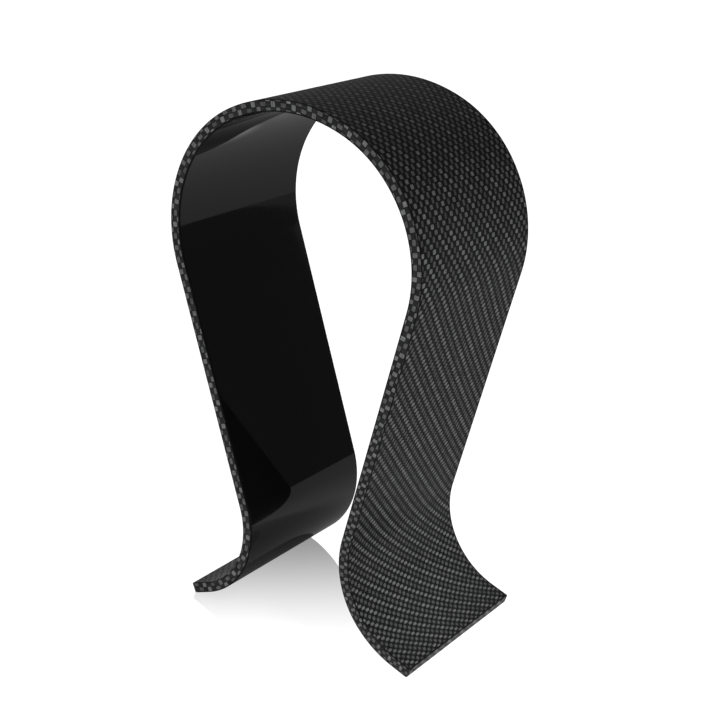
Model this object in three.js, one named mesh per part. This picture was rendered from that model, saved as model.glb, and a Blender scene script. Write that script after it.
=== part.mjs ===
// Headphone stand: one sheet bent into an arch with flared feet, faced with
// carbon weave film on its outer side, its two long edges and its foot ends.
// Millimetres. +Z up, +X to the right, +Y to the back.
// The origin is on the floor, midway between the feet and midway in depth.

import * as THREE from "three";

// Overall size
const HEIGHT = 240;
const DEPTH = 80;
const SHEET_THICKNESS = 5;

// Bends, as radii of the outer face, and headings in degrees below horizontal
const CROWN_RADIUS = 74.5;
const CROWN_HALF_ANGLE = 24.5;
const SHOULDER_RADIUS = 60;
const LEG_LEAN = 16.5;
const FLARE_RADIUS = 37.5;
const TOE_SLOPE = 20;
const TOE_LENGTH = 9;

// How much of each foot's lower corner is taken off level with the floor
const FOOT_TRIM = 0.5;

// Layers: the film on the outer face, the film strips on the edges and ends,
// and the adhesive gap under each of them
const SKIN_THICKNESS = 0.6;
const BAND_THICKNESS = 0.6;
const BOND_GAP = 0.1;

// Chords per bend
const CROWN_STEPS = 8;
const SHOULDER_STEPS = 18;
const FLARE_STEPS = 18;

const DEGREE = Math.PI / 180;
const crownEnd = CROWN_HALF_ANGLE * DEGREE;
const legHeading = (90 + LEG_LEAN) * DEGREE;
const toeHeading = TOE_SLOPE * DEGREE;

// The straight legs take up the height that the bends leave
const crownDrop = CROWN_RADIUS * (1 - Math.cos(crownEnd));
const shoulderDrop = SHOULDER_RADIUS * (Math.cos(crownEnd) - Math.cos(legHeading));
const flareDrop = FLARE_RADIUS * (Math.cos(toeHeading) - Math.cos(legHeading));
const toeDrop = TOE_LENGTH * Math.sin(toeHeading);
const cornerDrop = SHEET_THICKNESS * Math.cos(toeHeading) - FOOT_TRIM;
const bendsDrop = crownDrop + shoulderDrop + flareDrop + toeDrop + cornerDrop;
const LEG_LENGTH = (HEIGHT - bendsDrop) / Math.sin(legHeading);

// A station is a point of the outer face with the heading of the face there.
function straightOn(station, length) {
  return {
    x: station.x + length * Math.cos(station.heading),
    z: station.z - length * Math.sin(station.heading),
    heading: station.heading,
  };
}

// Stations along a bend that ends at the given heading. turn is 1 for a bend
// about the inside of the arch and -1 for one about the outside.
function bendTo(station, radius, endHeading, turn, steps) {
  const bend = [];
  for (let step = 1; step <= steps; step += 1) {
    const heading = THREE.MathUtils.lerp(station.heading, endHeading, step / steps);
    bend.push({
      x: station.x + turn * radius * (Math.sin(heading) - Math.sin(station.heading)),
      z: station.z + turn * radius * (Math.cos(heading) - Math.cos(station.heading)),
      heading,
    });
  }
  return bend;
}

// The right half of the outer face, from the top of the crown to the foot's end
function walkOuterFace() {
  const stations = [{ x: 0, z: HEIGHT, heading: 0 }];
  const last = () => stations[stations.length - 1];
  stations.push(...bendTo(last(), CROWN_RADIUS, crownEnd, 1, CROWN_STEPS));
  stations.push(...bendTo(last(), SHOULDER_RADIUS, legHeading, 1, SHOULDER_STEPS));
  stations.push(straightOn(last(), LEG_LENGTH));
  stations.push(...bendTo(last(), FLARE_RADIUS, toeHeading, -1, FLARE_STEPS));
  stations.push(straightOn(last(), TOE_LENGTH));
  return stations;
}

const outerFace = walkOuterFace();
const footEnd = outerFace[outerFace.length - 1];

// A station's point at a depth below the outer face
function below(station, depth) {
  return new THREE.Vector2(
    station.x - depth * Math.sin(station.heading),
    station.z - depth * Math.cos(station.heading),
  );
}

// An outline in the XZ plane, with what lies below the floor cut away
function cutAtFloor(points) {
  const kept = [];
  points.forEach((point, index) => {
    const next = points[(index + 1) % points.length];
    if (point.y >= 0) kept.push(point);
    if (point.y >= 0 !== next.y >= 0) {
      const share = point.y / (point.y - next.y);
      kept.push(new THREE.Vector2(THREE.MathUtils.lerp(point.x, next.x, share), 0));
    }
  });
  return kept;
}

// An outline extruded along Y from front to back
function extruded(name, outline, front, back, material) {
  const shape = new THREE.Shape(cutAtFloor(outline));
  const geometry = new THREE.ExtrudeGeometry(shape, { depth: back - front, bevelEnabled: false });
  const mesh = new THREE.Mesh(geometry, material);
  mesh.name = name;
  mesh.rotation.x = Math.PI / 2;
  mesh.position.y = back;
  return mesh;
}

// A layer of the bent sheet between two depths, stopping short of the foot ends
function layerOutline(upperDepth, lowerDepth, endSetback) {
  const half = [...outerFace.slice(0, -1), straightOn(footEnd, -endSetback)];
  const upper = half.map((station) => below(station, upperDepth));
  const lower = half.map((station) => below(station, lowerDepth));
  const mirrored = (points) => points.slice(1).map(({ x, y }) => new THREE.Vector2(-x, y));
  return [
    ...mirrored(upper).reverse(),
    ...upper,
    ...lower.reverse(),
    ...mirrored(half.map((station) => below(station, lowerDepth))),
  ];
}

// The strip that closes a foot's end, side is 1 for the right foot
function endOutline(side) {
  const inner = straightOn(footEnd, -BAND_THICKNESS);
  const corners = [
    below(inner, 0),
    below(footEnd, 0),
    below(footEnd, SHEET_THICKNESS),
    below(inner, SHEET_THICKNESS),
  ];
  return corners.map(({ x, y }) => new THREE.Vector2(side * x, y));
}

function glossBlackAcrylic() {
  return new THREE.MeshStandardMaterial({ color: 0x08080a, roughness: 0.06, metalness: 0 });
}

function carbonFaceFilm() {
  return new THREE.MeshStandardMaterial({ color: 0x2e2e30, roughness: 0.35, metalness: 0.2 });
}

function carbonEdgeFilm() {
  return new THREE.MeshStandardMaterial({ color: 0x48484a, roughness: 0.4, metalness: 0.2 });
}

const bandSetback = BAND_THICKNESS + BOND_GAP;
const frontFace = -DEPTH / 2;
const backFace = DEPTH / 2;
const sheetFront = frontFace + bandSetback;
const sheetBack = backFace - bandSetback;

function coreSheet() {
  const outline = layerOutline(SKIN_THICKNESS + BOND_GAP, SHEET_THICKNESS, bandSetback);
  return extruded("core_sheet", outline, sheetFront, sheetBack, glossBlackAcrylic());
}

function outerCarbonSkin() {
  const outline = layerOutline(0, SKIN_THICKNESS, bandSetback);
  return extruded("outer_carbon_skin", outline, sheetFront, sheetBack, carbonFaceFilm());
}

function edgeBand(name, front) {
  const outline = layerOutline(0, SHEET_THICKNESS, 0);
  return extruded(name, outline, front, front + BAND_THICKNESS, carbonEdgeFilm());
}

function footEndBand(name, side) {
  return extruded(name, endOutline(side), sheetFront, sheetBack, carbonEdgeFilm());
}

const stand = new THREE.Group();
stand.add(
  coreSheet(),
  outerCarbonSkin(),
  edgeBand("front_edge_band", frontFace),
  edgeBand("rear_edge_band", backFace - BAND_THICKNESS),
  footEndBand("left_foot_end_band", -1),
  footEndBand("right_foot_end_band", 1),
);

export default stand;
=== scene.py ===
"""Looks of the headphone stand: one gloss black sheet bent into an arch with flared feet,
faced with woven carbon film on its outer face, its edges and its foot ends.

Every piece is a slab that follows the bent sheet, with eased borders, and the films carry their
weave as real relief. Lengths are in metres, +Z up, in the frame of the CAD model.
"""

import math

import bmesh
import bpy
import numpy as np
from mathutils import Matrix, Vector

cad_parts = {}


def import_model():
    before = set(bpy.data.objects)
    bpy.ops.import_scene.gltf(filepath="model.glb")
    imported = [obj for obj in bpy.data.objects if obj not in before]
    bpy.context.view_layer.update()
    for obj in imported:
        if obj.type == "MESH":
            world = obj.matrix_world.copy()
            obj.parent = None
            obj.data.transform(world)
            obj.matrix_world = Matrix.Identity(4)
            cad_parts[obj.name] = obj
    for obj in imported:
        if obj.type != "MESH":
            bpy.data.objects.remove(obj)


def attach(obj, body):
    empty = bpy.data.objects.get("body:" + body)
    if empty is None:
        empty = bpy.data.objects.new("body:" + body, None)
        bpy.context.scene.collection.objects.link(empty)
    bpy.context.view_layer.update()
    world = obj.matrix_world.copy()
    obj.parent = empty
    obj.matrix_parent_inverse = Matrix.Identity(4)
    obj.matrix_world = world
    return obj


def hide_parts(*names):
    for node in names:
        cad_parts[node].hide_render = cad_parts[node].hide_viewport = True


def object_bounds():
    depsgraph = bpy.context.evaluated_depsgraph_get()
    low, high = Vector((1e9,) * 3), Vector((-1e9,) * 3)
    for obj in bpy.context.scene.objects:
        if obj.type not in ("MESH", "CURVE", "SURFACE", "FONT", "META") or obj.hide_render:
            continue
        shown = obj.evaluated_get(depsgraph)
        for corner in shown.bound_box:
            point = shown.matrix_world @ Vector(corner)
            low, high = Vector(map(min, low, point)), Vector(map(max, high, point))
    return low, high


MM = 0.001

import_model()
cad_low, cad_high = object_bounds()

# ---------------------------------------------------------------- the bent sheet

HEIGHT = cad_high.z
HALF_DEPTH = cad_high.y
SHEET = 5.0 * MM
FILM = 0.6 * MM
GLUE = 0.1 * MM
SETBACK = FILM + GLUE

CROWN_RADIUS = 74.5 * MM
CROWN_HALF_ANGLE = math.radians(24.5)
SHOULDER_RADIUS = 60.0 * MM
LEG_HEADING = math.radians(90 + 16.5)
FLARE_RADIUS = 37.5 * MM
TOE_HEADING = math.radians(20)
TOE_LENGTH = 9.0 * MM
FOOT_TRIM = 0.5 * MM


def leg_length():
    """The straight leg takes up the height that the bends and the toe leave."""
    crown = CROWN_RADIUS * (1 - math.cos(CROWN_HALF_ANGLE))
    shoulder = SHOULDER_RADIUS * (math.cos(CROWN_HALF_ANGLE) - math.cos(LEG_HEADING))
    flare = FLARE_RADIUS * (math.cos(TOE_HEADING) - math.cos(LEG_HEADING))
    toe = TOE_LENGTH * math.sin(TOE_HEADING) + SHEET * math.cos(TOE_HEADING)
    return (HEIGHT + FOOT_TRIM - crown - shoulder - flare - toe) / math.sin(LEG_HEADING)


# Half of the outer face from the crown's top to the foot's end, as (length, radius).
# A negative radius bends outwards, and None is straight.
STRETCHES = [
    (CROWN_RADIUS * CROWN_HALF_ANGLE, CROWN_RADIUS),
    (SHOULDER_RADIUS * (LEG_HEADING - CROWN_HALF_ANGLE), SHOULDER_RADIUS),
    (leg_length(), None),
    (FLARE_RADIUS * (LEG_HEADING - TOE_HEADING), -FLARE_RADIUS),
    (TOE_LENGTH, None),
]
HALF_LENGTH = sum(length for length, _ in STRETCHES)
LEG_END = sum(length for length, _ in STRETCHES[:3])


def on_sheet(run, depth, y):
    """Points at a signed run along the outer face from the crown's top, a depth below that face
    and a y. What would lie under the floor is levelled with it."""
    left = np.abs(run)
    x = np.zeros_like(left)
    z = np.full_like(left, HEIGHT)
    heading = np.zeros_like(left)
    for length, radius in STRETCHES:
        part = np.clip(left, 0, length)
        left = left - part
        if radius is None:
            x = x + part * np.cos(heading)
            z = z - part * np.sin(heading)
            continue
        turned = heading + part / radius
        x = x + radius * (np.sin(turned) - np.sin(heading))
        z = z + radius * (np.cos(turned) - np.cos(heading))
        heading = turned
    x = np.where(run < 0, -1, 1) * (x - depth * np.sin(heading))
    z = z - depth * np.cos(heading)
    return np.stack([x, y, np.maximum(z, 0)], axis=-1)


# ---------------------------------------------------------------- the weave

# The film's tows are counted along the run and across it. Where they are wider or narrower the
# film was stretched or gathered when it was laid. The tables are in millimetres.
FACE_TOWS = {
    "runs": [-250, -200, -110, 60, 110, 225, 245, 290],
    "widths": [1.55, 2.0, 2.3, 2.5, 2.3, 2.0, 1.65, 1.47],
}
FACE_ROWS = {"runs": [60, 110, 240], "widths": [1.92, 2.1, 2.15]}
EDGE_TOWS = {
    "runs": [-290, 0, 80, 150, 240, 290],
    "widths": [2.75, 2.72, 2.6, 2.25, 1.75, 1.6],
}
EDGE_ROW = 2.25 * MM
END_TOW = 2.6 * MM

# The runs at which tows are counted, from foot to foot
RUN_SAMPLES = np.linspace(-HALF_LENGTH, HALF_LENGTH, 4001)

# The rows creep as they run from the left foot to the right one: the face film's towards the front,
# and the edge strips' towards the inner border, faster on the right half. In both flares the face
# film's creep further towards the front.
FACE_CREEP = 0.1
FLARE_CREEP = 0.00225 / MM
EDGE_CREEP_LEFT = 0.043
EDGE_CREEP_RIGHT = 0.078
EDGE_START = -1.1 * MM


def width_at(table, run):
    """How wide a table's tows or rows are at each run."""
    return np.interp(run, np.array(table["runs"]) * MM, np.array(table["widths"]) * MM)


def tows_along(table, run):
    """How many tows lie between the crown's top and each run."""
    widths = width_at(table, RUN_SAMPLES)
    passed = np.diff(RUN_SAMPLES) * 2 / (widths[1:] + widths[:-1])
    counts = np.concatenate([[0], np.cumsum(passed)])
    counts -= np.interp(0, RUN_SAMPLES, counts)
    return np.interp(run, RUN_SAMPLES, counts)


def tow_runs(table, per_tow):
    """The runs at every per_tow-th part of a tow, from foot to foot."""
    counts = tows_along(table, RUN_SAMPLES)
    first, last = math.ceil(counts[0] * per_tow), math.floor(counts[-1] * per_tow)
    return np.interp(np.arange(first, last + 1) / per_tow, counts, RUN_SAMPLES)


# ---------------------------------------------------------------- slabs

# A border is rounded off in this many steps, and is level this many of its radii in
EASING_STEPS = 5
LEVEL_FROM = 1.4

# Points closer than this are joined
WELD = 0.001 * MM

START_BORDER_FARTHER = 0.35 * MM
SHARP_ANGLE = math.radians(50)


def border_lines(radius):
    """Distances in from a border at which its easing needs a line. The last one is on the level
    face, and keeps the easing's shading off it."""
    angles = np.linspace(math.pi / 2, 0, EASING_STEPS + 1)
    return np.append(radius * (1 - np.sin(angles)), radius * LEVEL_FROM)


def eased_drop(along, across, radius):
    """How far a face with eased borders lies below its level, on a grid."""
    short = [
        np.clip(1 - np.minimum(grid - grid.min(), grid.max() - grid) / radius, 0, 1)
        for grid in (along, across)
    ]
    return radius * (1 - np.sqrt(1 - np.clip(np.hypot(*short), 0, 1) ** 2))


def grid_lines(start, end, radius, inner):
    """Grid lines from start to end: those of both eased borders and the inner ones between."""
    rim = border_lines(radius)
    kept = inner[(inner > start + rim[-1]) & (inner < end - rim[-1])]
    return np.concatenate([start + rim, kept, end - rim[::-1]])


def from_borders(across):
    """How far in from the nearer long border a grid's points are, in millimetres. The start
    border counts as if it were farther."""
    from_start = across - across.min() + START_BORDER_FARTHER
    return np.minimum(across.max() - across, from_start) / MM


def welded(points, faces):
    """Joins points at one place. Returns the points that stay, and the faces that still have
    three corners or more."""
    keys = np.round(points / WELD).astype(np.int64)
    _, kept, new = np.unique(keys, axis=0, return_index=True, return_inverse=True)
    new = new.ravel().tolist()
    joined = []
    for face in faces:
        ring = [new[corner] for corner in face]
        ring = [corner for corner, last in zip(ring, ring[-1:] + ring[:-1]) if corner != last]
        if len(ring) > 2:
            joined.append(ring)
    return kept, joined


def slab(name, along, across, drop, thickness, place, tows):
    """A closed slab. along and across are the grids of its face's coordinates, drop says how far
    the face lies below its level, place(along, across, drop) gives points and tows(along, across)
    their weave coordinates."""
    rows, columns = along.shape
    sides = along[:, [0, -1]], across[:, [0, -1]]
    back = place(*sides, np.full((rows, 2), thickness))
    points = np.concatenate([place(along, across, drop).reshape(-1, 3), back.reshape(-1, 3)])
    grids = (along, across), sides
    weave = [np.stack(tows(*grid), -1).reshape(-1, 2) for grid in grids]
    inset = [from_borders(grid[1]).reshape(-1, 1) * (1, 0) for grid in grids]
    top = np.arange(rows * columns).reshape(rows, columns)
    under = rows * columns + np.arange(rows * 2).reshape(rows, 2)
    strips = [
        (top[:-1, :-1], top[1:, :-1], top[1:, 1:], top[:-1, 1:]),
        (under[:-1, 0], under[:-1, 1], under[1:, 1], under[1:, 0]),
        (top[:-1, 0], under[:-1, 0], under[1:, 0], top[1:, 0]),
        (top[:-1, -1], top[1:, -1], under[1:, 1], under[:-1, 1]),
    ]
    faces = [face for strip in strips for face in np.stack(strip, -1).reshape(-1, 4).tolist()]
    faces.append([under[0, 1], under[0, 0], *top[0]])
    faces.append([under[-1, 0], under[-1, 1], *top[-1, ::-1]])
    kept, faces = welded(points, faces)
    mesh = bpy.data.meshes.new(name)
    mesh.from_pydata(points[kept].tolist(), [], faces)
    work = bmesh.new()
    work.from_mesh(mesh)
    bmesh.ops.recalc_face_normals(work, faces=work.faces)
    work.to_mesh(mesh)
    work.free()
    corners = np.empty(len(mesh.loops), np.int32)
    mesh.loops.foreach_get("vertex_index", corners)
    for layer, parts in (("weave", weave), ("inset", inset)):
        uv = np.concatenate(parts)[kept][corners].astype(np.float32)
        mesh.uv_layers.new(name=layer).data.foreach_set("uv", uv.ravel())
    piece = bpy.data.objects.new(name, mesh)
    bpy.context.scene.collection.objects.link(piece)
    return piece


def stand_for(piece, node, material):
    """Puts a piece in a CAD node's place, with smooth faces and its material."""
    piece.data.shade_smooth()
    piece.data.set_sharp_from_angle(angle=SHARP_ANGLE)
    piece.data.materials.append(material)
    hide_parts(node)
    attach(piece, "root")


# ---------------------------------------------------------------- materials

# Fibre streaks, as noise along each tow: the part of its range in use, and the tones it gives
STREAKS_PER_TOW = 9.0
STREAK_DETAIL = 3.0
STREAK_ROUGHNESS = 0.7
STREAK_RANGE = (0.3, 0.7)
STREAK_TONES = (0.6, 1.35)

# The weave repeats after this many crossings, counted from where a crosswise tow is proud, and
# such a tow is slack at the middle one
REPEAT = 4.0
SLACK_CROSSING = 2.0

# How much a tow's patch is drawn in from its square. Less than 1 lets it spread.
LENGTHWISE_DRAWN_IN = 0.95
SLACK_DRAWN_IN_U = 0.92
SLACK_DRAWN_IN_V = 1.22
PROUD_DRAWN_IN_V = 0.85

# Where a patch fades out, counted from its middle in tow widths, and where the dark outline does,
# as shares of its width
PATCH_END = (0.4, 0.54)
OUTLINE_END = (0.75, 1.25)

# Slack tows' painted sheen as a share of the proud ones', range from cell to cell, and colour cast
SLACK_SHEEN = 0.62
CELL_TONES = (0.8, 1.2)
WEAVE_TINT = (0.99, 1.0, 1.02)

# The clear coat, which follows the fibres a little
ROUGHNESS_SPREAD = 0.08
FIBRE_BUMP = 0.35
FIBRE_HEIGHT = 0.02 * MM
COAT_IOR = 1.4
COAT_SPECULAR = 0.15

# The polished sheet: its smears vary the roughness and its ripple bends the reflections
BLACK = (0.0044, 0.0044, 0.0046, 1)
SMEAR_SCALE = 90.0
SMEAR_DETAIL = 4.0
SMEAR_ROUGHNESS = 0.65
SMEAR_RANGE = (0.35, 0.75)
POLISHED_ROUGHNESS = (0.03, 0.075)
RIPPLE_SCALE = 35.0
RIPPLE_DETAIL = 1.0
RIPPLE_BUMP = 0.2
RIPPLE_HEIGHT = 0.05 * MM
SHEET_IOR = 1.49


class Nodes:
    """Short calls for building the node tree of a material or a world."""

    def __init__(self, owner):
        owner.use_nodes = True
        self.tree = owner.node_tree

    def add(self, kind, **settings):
        node = self.tree.nodes.new("ShaderNode" + kind)
        for key, value in settings.items():
            setattr(node, key, value)
        return node

    def feed(self, socket, value):
        if isinstance(value, bpy.types.NodeSocket):
            self.tree.links.new(value, socket)
        else:
            socket.default_value = value

    def math(self, operation, *values):
        node = self.add("Math", operation=operation)
        for socket, value in zip(node.inputs, values):
            self.feed(socket, value)
        return node.outputs[0]

    def remap(self, value, low, high, to_low, to_high, ease="SMOOTHSTEP"):
        node = self.add("MapRange", interpolation_type=ease)
        for socket, number in zip(node.inputs, (value, low, high, to_low, to_high)):
            self.feed(socket, number)
        return node.outputs["Result"]

    def vector(self, *values):
        node = self.add("CombineXYZ")
        for socket, value in zip(node.inputs, values):
            self.feed(socket, value)
        return node.outputs[0]

    def noise(self, where, scale, detail, roughness=0.5):
        node = self.add("TexNoise")
        self.feed(node.inputs["Vector"], where)
        self.feed(node.inputs["Scale"], scale)
        self.feed(node.inputs["Detail"], detail)
        self.feed(node.inputs["Roughness"], roughness)
        return node.outputs["Fac"]

    def vector_math(self, operation, first, second):
        node = self.add("VectorMath", operation=operation)
        self.feed(node.inputs[0], first)
        self.feed(node.inputs[1], second)
        return node.outputs["Value"]

    def separate(self, vector):
        node = self.add("SeparateXYZ")
        self.feed(node.inputs[0], vector)
        return node.outputs

    def mix(self, factor, first, second):
        node = self.add("Mix", data_type="FLOAT")
        self.feed(node.inputs[0], factor)
        self.feed(node.inputs[2], first)
        self.feed(node.inputs[3], second)
        return node.outputs[0]

    def set(self, socket, value):
        self.feed(self.tree.nodes["Principled BSDF"].inputs[socket], value)

    def bump(self, strength, distance, height):
        node = self.add("Bump")
        self.feed(node.inputs["Strength"], strength)
        self.feed(node.inputs["Distance"], distance)
        self.feed(node.inputs["Height"], height)
        self.set("Normal", node.outputs[0])


def weave_material(name, bright, dark, gap, squareness, tight, coat_roughness, outline):
    """Plain weave under a clear film. bright is the colour of the tows that run across the
    piece and dark of those that run along it. Their difference is a painted sheen: the crosswise
    tows are painted as catching the light and the lengthwise ones as not. gap is the colour of the
    resin between them. squareness is how square a patch's corners are, and tight how much narrower
    a proud tow shows. outline is how wide the dark line at the long borders is, in millimetres,
    and 0 is none."""
    material = bpy.data.materials.new(name)
    n = Nodes(material)
    u, v, _ = n.separate(n.add("UVMap", uv_map="weave").outputs[0])
    tow_u, tow_v = n.math("FLOOR", u), n.math("FLOOR", v)
    lengthwise = n.math("FLOORED_MODULO", n.math("ADD", tow_u, tow_v), 2.0)
    crossing = n.math("FLOORED_MODULO", n.math("SUBTRACT", tow_v, tow_u), REPEAT)
    slack = n.math("COMPARE", crossing, SLACK_CROSSING, 0.5)
    chance = n.add("TexWhiteNoise", noise_dimensions="2D")
    n.feed(chance.inputs["Vector"], n.vector(tow_u, tow_v, 0.0))

    # Fibres run along each tow, so their streaks are long that way and fine the other way
    fine_u, fine_v = n.math("MULTIPLY", u, STREAKS_PER_TOW), n.math("MULTIPLY", v, STREAKS_PER_TOW)
    streaks = [
        n.noise(n.vector(*where), 1.0, STREAK_DETAIL, STREAK_ROUGHNESS)
        for where in ((fine_u, v, tow_v), (u, fine_v, tow_u))
    ]
    fibre = n.mix(lengthwise, *streaks)

    # A tow's visible back is a patch that darkens towards the crossing tows. The crosswise tows
    # are proud at every other crossing, where they show narrow and bright with the full painted
    # sheen, and slack at the rest, where they show flat and dull with less of it. The lengthwise
    # tows fill their squares.
    off_u = n.math("ABSOLUTE", n.math("SUBTRACT", n.math("FRACT", u), 0.5))
    off_v = n.math("ABSOLUTE", n.math("SUBTRACT", n.math("FRACT", v), 0.5))
    crosswise_u = n.mix(slack, tight, SLACK_DRAWN_IN_U)
    crosswise_v = n.mix(slack, PROUD_DRAWN_IN_V, SLACK_DRAWN_IN_V)
    off_u = n.math("MULTIPLY", off_u, n.mix(lengthwise, crosswise_u, LENGTHWISE_DRAWN_IN))
    off_v = n.math("MULTIPLY", off_v, n.mix(lengthwise, crosswise_v, LENGTHWISE_DRAWN_IN))
    rim = n.math("ADD", n.math("POWER", off_u, squareness), n.math("POWER", off_v, squareness))
    patch = n.remap(n.math("POWER", rim, 1 / squareness), *PATCH_END, 1.0, 0.0)
    # Painted sheen: the crosswise tows bright, less so where slack, and the lengthwise ones dark
    crosswise_sheen = n.mix(slack, bright, bright * SLACK_SHEEN)
    cell_tone = n.remap(chance.outputs["Value"], 0.0, 1.0, *CELL_TONES)
    shade = n.math("MULTIPLY", n.mix(lengthwise, crosswise_sheen, dark), cell_tone)
    shade = n.math("MULTIPLY", shade, n.remap(fibre, *STREAK_RANGE, *STREAK_TONES))
    shade = n.mix(patch, gap, shade)
    if outline:
        inset = n.separate(n.add("UVMap", uv_map="inset").outputs[0])[0]
        laid = n.remap(inset, *(outline * share for share in OUTLINE_END), 0.0, 1.0)
        shade = n.mix(laid, gap, shade)
    tint = n.add("CombineColor")
    for socket, strength in zip(tint.inputs, WEAVE_TINT):
        n.feed(socket, n.math("MULTIPLY", shade, strength))
    n.set("Base Color", tint.outputs[0])
    rougher, smoother = coat_roughness + ROUGHNESS_SPREAD, coat_roughness - ROUGHNESS_SPREAD
    n.set("Roughness", n.remap(fibre, *STREAK_RANGE, rougher, smoother))
    n.bump(FIBRE_BUMP, FIBRE_HEIGHT, n.math("MULTIPLY", fibre, patch))
    n.set("IOR", COAT_IOR)
    n.set("Specular IOR Level", COAT_SPECULAR)
    return material


def polished_black():
    """Cast black sheet, flame polished: a deep gloss with the faint ripple of the bent sheet."""
    material = bpy.data.materials.new("polished_black")
    n = Nodes(material)
    where = n.add("TexCoord").outputs["Object"]
    smear = n.noise(where, SMEAR_SCALE, SMEAR_DETAIL, SMEAR_ROUGHNESS)
    n.set("Base Color", BLACK)
    n.set("Roughness", n.remap(smear, *SMEAR_RANGE, *POLISHED_ROUGHNESS))
    n.bump(RIPPLE_BUMP, RIPPLE_HEIGHT, n.noise(where, RIPPLE_SCALE, RIPPLE_DETAIL))
    n.set("IOR", SHEET_IOR)
    return material


# ---------------------------------------------------------------- the pieces

# How finely each mesh is divided, how far its tows stand out of the gaps, and the radius of its
# eased borders
FACE_LINES_PER_TOW = 3
FACE_LINES_PER_ROW = 2
FACE_RELIEF = 0.06 * MM
FACE_EASING = 0.2 * MM
EDGE_LINES_PER_TOW = 6
EDGE_RELIEF = 0.08 * MM
EDGE_EASING = 0.4 * MM
CORE_EASING = 0.15 * MM
CORE_PITCH = 0.8 * MM
CORE_LINES = 9

# The core and the face film stop short of the strips on the edges and the foot ends
SIDE = HALF_DEPTH - SETBACK
LAID_END = HALF_LENGTH - SETBACK


def face_creep(run):
    """How far the face film's rows have crept towards the front."""
    return FACE_CREEP * run + FLARE_CREEP * np.clip(np.abs(run) - LEG_END, 0, None) ** 2


def face_row(run):
    """How wide the face film's rows are."""
    return width_at(FACE_ROWS, np.abs(run))


def face_tows(run, y):
    """Tow counts of the face film at a run and a y."""
    return tows_along(FACE_TOWS, run), (y + face_creep(run)) / face_row(run)


def edge_creep(run):
    """How far an edge strip's rows have crept inwards."""
    return EDGE_START + np.where(run < 0, EDGE_CREEP_LEFT, EDGE_CREEP_RIGHT) * run


def edge_tows(run, depth):
    """Tow counts of an edge strip at a run and a depth below the outer face."""
    return tows_along(EDGE_TOWS, run), (depth - edge_creep(run)) / EDGE_ROW


def end_tows(y, depth):
    """Tow counts of a foot's end strip at a y and a depth below the outer face."""
    return y / END_TOW, depth / EDGE_ROW


def woven_lines(runs, low, high, easing, row, shift, per_tow):
    """A grid over the runs, with lines on the film's rows up to its eased borders. row is how wide
    the rows are at each run, and shift how far they lie from their place."""
    rim = border_lines(easing)
    first = math.floor(((low - shift) / row).min() * per_tow)
    last = math.ceil(((high - shift) / row).max() * per_tow)
    rows = np.arange(first, last + 1)[None, :] * row[:, None] / per_tow + shift[:, None]
    rows = np.clip(rows, low + rim[-1], high - rim[-1])
    every = np.ones((len(runs), 1))
    across = np.concatenate([every * (low + rim), rows, every * (high - rim[::-1])], axis=1)
    return np.repeat(runs[:, None], across.shape[1], axis=1), across


def woven_drop(along, across, easing, tows, relief):
    """Eased borders with the tows' backs standing out of the gaps between them."""
    u, v = tows(along, across)
    tow_back = np.sqrt(np.abs(np.sin(np.pi * u) * np.sin(np.pi * v)))
    eased = eased_drop(along, across, easing)
    return eased + relief * (1 - tow_back) * (1 - eased / easing)


def face_film(material):
    """The film on the outer face."""
    inner = tow_runs(FACE_TOWS, FACE_LINES_PER_TOW)
    runs = grid_lines(-LAID_END, LAID_END, FACE_EASING, inner)
    along, across = woven_lines(
        runs, -SIDE, SIDE, FACE_EASING, face_row(runs), -face_creep(runs), FACE_LINES_PER_ROW
    )
    drop = woven_drop(along, across, FACE_EASING, face_tows, FACE_RELIEF)

    def place(run, y, below):
        return on_sheet(run, below, y)

    piece = slab("outer_carbon_face", along, across, drop, FILM, place, face_tows)
    stand_for(piece, "outer_carbon_skin", material)


def edge_strip(name, node, side, material):
    """The strip on the front edge, side -1, or on the rear edge, side 1."""
    inner = tow_runs(EDGE_TOWS, EDGE_LINES_PER_TOW)
    runs = grid_lines(-HALF_LENGTH, HALF_LENGTH, EDGE_EASING, inner)
    row = np.full(len(runs), EDGE_ROW)
    along, across = woven_lines(
        runs, 0, SHEET, EDGE_EASING, row, edge_creep(runs), EDGE_LINES_PER_TOW
    )
    drop = woven_drop(along, across, EDGE_EASING, edge_tows, EDGE_RELIEF)

    def place(run, depth, below):
        return on_sheet(run, depth, side * (HALF_DEPTH - below))

    piece = slab(name, along, across, drop, FILM, place, edge_tows)
    stand_for(piece, node, material)


def foot_end(name, node, side, material):
    """The strip that closes a foot's end, side -1 for the left foot and 1 for the right."""
    tows = np.arange(-SIDE, SIDE, END_TOW / EDGE_LINES_PER_TOW)
    rows = np.arange(0, SHEET, EDGE_ROW / EDGE_LINES_PER_TOW)
    along, across = np.meshgrid(
        grid_lines(-SIDE, SIDE, EDGE_EASING, tows),
        grid_lines(0, SHEET, EDGE_EASING, rows),
        indexing="ij",
    )
    drop = woven_drop(along, across, EDGE_EASING, end_tows, EDGE_RELIEF)

    def place(y, depth, below):
        return on_sheet(side * (HALF_LENGTH - below), depth, y)

    piece = slab(name, along, across, drop, FILM, place, end_tows)
    stand_for(piece, node, material)


def core(material):
    """The polished sheet. Its inner face shows, and the films cover the rest."""
    runs = grid_lines(-LAID_END, LAID_END, CORE_EASING, np.arange(-LAID_END, LAID_END, CORE_PITCH))
    sides = grid_lines(-SIDE, SIDE, CORE_EASING, np.linspace(-SIDE, SIDE, CORE_LINES))
    along, across = np.meshgrid(runs, sides, indexing="ij")
    drop = eased_drop(along, across, CORE_EASING)

    def place(run, y, below):
        return on_sheet(run, SHEET - below, y)

    piece = slab("bent_black_sheet", along, across, drop, SHEET - SETBACK, place, face_tows)
    stand_for(piece, "core_sheet", material)


# ---------------------------------------------------------------- camera, floor and light

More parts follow.
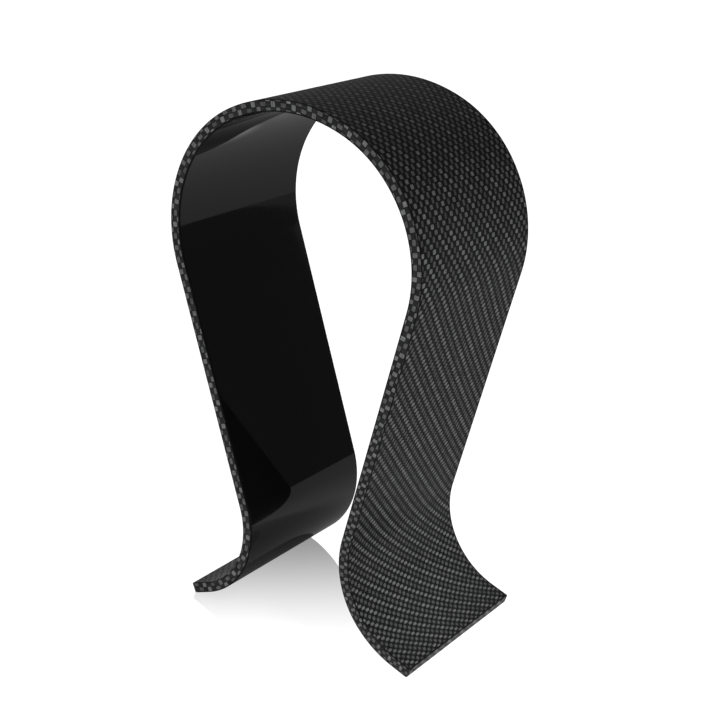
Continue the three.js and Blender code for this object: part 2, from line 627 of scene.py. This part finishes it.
CAMERA_AZIMUTH = math.radians(36.8)
CAMERA_ELEVATION = math.radians(20.28)
CAMERA_DISTANCE = 635.8 * MM
CAMERA_LENS = 71.8
SENSOR_WIDTH = 36
NEAREST_SEEN = 0.01
AIM = Vector((4.9 * MM, 2.3 * MM, HEIGHT / 2 - 0.4 * MM))
RIGHT_FOOT = Vector((45 * MM, 0, 20 * MM))

# The light table reaches this far, except on the right
TABLE_REACH = 3.0
TABLE_RIGHT = 0.39
TABLE_COLOR = (0.2, 0.2, 0.2, 1)
TABLE_GLOW = 1.08

# What gloss sees of the table: a dim glow, less of it near the left foot, and more of it at a
# patch behind that foot. Each pair is the distances between which one turns into the other.
TABLE_GLOW_IN_GLOSS = 0.26
GLOW_IN_GLOSS_NEARBY = 0.1
NEARBY_END = (0.03, 0.1)
GLINT_PLACE = (-0.2, 0.12, 0)
GLINT_IN_GLOSS = 2.2
GLINT_END = (0.1, 0.16)

# The table's mirror is round, and fades out along a direction
POLISHED_PLACE = (-0.035, -0.01, 0)
POLISHED_END = (0.055, 0.085)
MOST_POLISH = 0.75
FADE_DIRECTION = (0.6, -0.8, 0)
FADE_END = (-0.075, 0.06)

# The backdrop as the camera, soft surfaces and gloss see it
WHITE = 1.1
BACKDROP = 0.6
CEILING = 0.05
BACKDROP_IN_GLOSS = 0.19
DARK_SIDE_IN_GLOSS = 0.065
DARK_FROM = math.radians(41.4)
DARK_SOFTNESS = 0.003

# Ray depths below these are the first reflection. The world counts one more than the table.
FIRST_ON_TABLE = 1.5
FIRST_IN_WORLD = 2.5


def towards(azimuth, elevation):
    """Unit vector from the object to a place round it. Azimuth 0 is the front."""
    flat = math.cos(elevation)
    return Vector((math.sin(azimuth) * flat, -math.cos(azimuth) * flat, math.sin(elevation)))


def camera():
    """The camera, in front of the object and to its right."""
    made = bpy.data.objects.new("camera", bpy.data.cameras.new("camera"))
    bpy.context.scene.collection.objects.link(made)
    back = towards(CAMERA_AZIMUTH, CAMERA_ELEVATION)
    made.location = AIM + back * CAMERA_DISTANCE
    made.rotation_euler = (-back).to_track_quat("-Z", "Y").to_euler()
    made.data.lens = CAMERA_LENS
    made.data.sensor_width = SENSOR_WIDTH
    made.data.clip_start = NEAREST_SEEN
    bpy.context.scene.camera = made


def softbox(name, aim, azimuth, elevation, distance, size, radiance, spread=180):
    """A rectangular softbox that looks at a place and that no camera sees. A grid on it narrows
    its spread. Angles are in degrees."""
    light = bpy.data.lights.new(name, "AREA")
    light.shape = "RECTANGLE"
    light.size, light.size_y = size
    light.energy = radiance * math.pi * size[0] * size[1]
    light.spread = math.radians(spread)
    made = bpy.data.objects.new(name, light)
    bpy.context.scene.collection.objects.link(made)
    back = towards(math.radians(azimuth), math.radians(elevation))
    made.location = aim + back * distance
    made.rotation_euler = (-back).to_track_quat("-Z", "Y").to_euler()
    made.visible_camera = False


def floor():
    """A white light table, polished near the left foot. It ends on the right, where the studio
    is dark. Gloss sees it dimmed, most of all near the left foot. Behind that foot its first
    reflection is bright."""
    mesh = bpy.data.meshes.new("floor")
    corners = [
        (-TABLE_REACH, -TABLE_REACH, 0),
        (TABLE_RIGHT, -TABLE_REACH, 0),
        (TABLE_RIGHT, TABLE_REACH, 0),
        (-TABLE_REACH, TABLE_REACH, 0),
    ]
    mesh.from_pydata(corners, [], [(0, 1, 2, 3)])
    made = bpy.data.objects.new("floor", mesh)
    bpy.context.scene.collection.objects.link(made)
    material = bpy.data.materials.new("light_table")
    n = Nodes(material)
    n.set("Base Color", TABLE_COLOR)
    n.set("Specular IOR Level", 0.0)
    n.set("Emission Color", (1, 1, 1, 1))
    where = n.add("TexCoord").outputs["Object"]
    forwards = n.vector_math("DOT_PRODUCT", where, FADE_DIRECTION)
    away = n.vector_math("DISTANCE", where, POLISHED_PLACE)
    in_gloss = n.remap(away, *NEARBY_END, GLOW_IN_GLOSS_NEARBY, TABLE_GLOW_IN_GLOSS)
    ray = n.add("LightPath").outputs
    glint = n.remap(n.vector_math("DISTANCE", where, GLINT_PLACE), *GLINT_END, 1.0, 0.0)
    glint = n.math("MULTIPLY", glint, n.math("LESS_THAN", ray["Ray Depth"], FIRST_ON_TABLE))
    in_gloss = n.mix(glint, in_gloss, GLINT_IN_GLOSS)
    n.set("Emission Strength", n.mix(ray["Is Glossy Ray"], TABLE_GLOW, in_gloss))
    fading = n.remap(forwards, *FADE_END, MOST_POLISH, 0.0)
    near = n.remap(away, *POLISHED_END, 1.0, 0.0)
    polish = n.math("MULTIPLY", fading, near)
    mirror = n.add("BsdfAnisotropic")
    n.feed(mirror.inputs["Color"], (1, 1, 1, 1))
    n.feed(mirror.inputs["Roughness"], 0.0)
    surface = n.add("MixShader")
    n.feed(surface.inputs[0], polish)
    n.feed(surface.inputs[1], n.tree.nodes["Principled BSDF"].outputs[0])
    n.feed(surface.inputs[2], mirror.outputs[0])
    n.feed(n.tree.nodes["Material Output"].inputs["Surface"], surface.outputs[0])
    mesh.materials.append(material)


def world():
    """A white backdrop with a dim ceiling. Gloss sees it dimmed, and nearly black on the right.
    A mirror sees it as the camera does."""
    made = bpy.data.worlds.new("studio")
    n = Nodes(made)
    background = n.tree.nodes["Background"]
    n.feed(background.inputs["Color"], (1, 1, 1, 1))
    direction = n.add("TexCoord").outputs["Generated"]
    height = n.separate(direction)[2]
    fill = n.remap(height, 0.0, 1.0, BACKDROP, CEILING, "LINEAR")
    dark_side = (math.cos(DARK_FROM), -math.sin(DARK_FROM), 0)
    sideways = n.vector_math("DOT_PRODUCT", direction, dark_side)
    softened = -DARK_SOFTNESS, DARK_SOFTNESS
    in_gloss = n.remap(sideways, *softened, BACKDROP_IN_GLOSS, DARK_SIDE_IN_GLOSS)
    ray = n.add("LightPath").outputs
    dimmed = n.mix(ray["Is Glossy Ray"], fill, in_gloss)
    first = n.math("LESS_THAN", ray["Ray Depth"], FIRST_IN_WORLD)
    mirrored = n.math("MULTIPLY", ray["Is Singular Ray"], first)
    direct = n.math("MAXIMUM", ray["Is Camera Ray"], mirrored)
    n.feed(background.inputs["Strength"], n.mix(direct, dimmed, WHITE))
    bpy.context.scene.world = made
    bpy.context.scene.view_settings.view_transform = "Standard"


# ---------------------------------------------------------------- the scene

# The bright and dark tow tones are a painted sheen of the fibres, put into the colour
face_material = weave_material(
    "carbon_face_weave",
    bright=0.11,
    dark=0.0065,
    gap=0.0015,
    squareness=4.0,
    tight=1.2,
    coat_roughness=0.42,
    outline=0,
)
edge_material = weave_material(
    "carbon_edge_weave",
    bright=0.17,
    dark=0.026,
    gap=0.006,
    squareness=6.0,
    tight=1.15,
    coat_roughness=0.4,
    outline=0.6,
)
face_film(face_material)
edge_strip("front_edge_strip", "front_edge_band", -1, edge_material)
edge_strip("rear_edge_strip", "rear_edge_band", 1, edge_material)
foot_end("left_foot_end", "left_foot_end_band", -1, edge_material)
foot_end("right_foot_end", "right_foot_end_band", 1, edge_material)
core(polished_black())
camera()
floor()
world()
softbox(
    "top_softbox",
    AIM,
    azimuth=0,
    elevation=90,
    distance=1.5,
    size=(1.0, 1.0),
    radiance=0.5,
)
softbox(
    "foot_softbox",
    RIGHT_FOOT,
    azimuth=80,
    elevation=60,
    distance=0.35,
    size=(0.12, 0.12),
    radiance=1.3,
    spread=30,
)
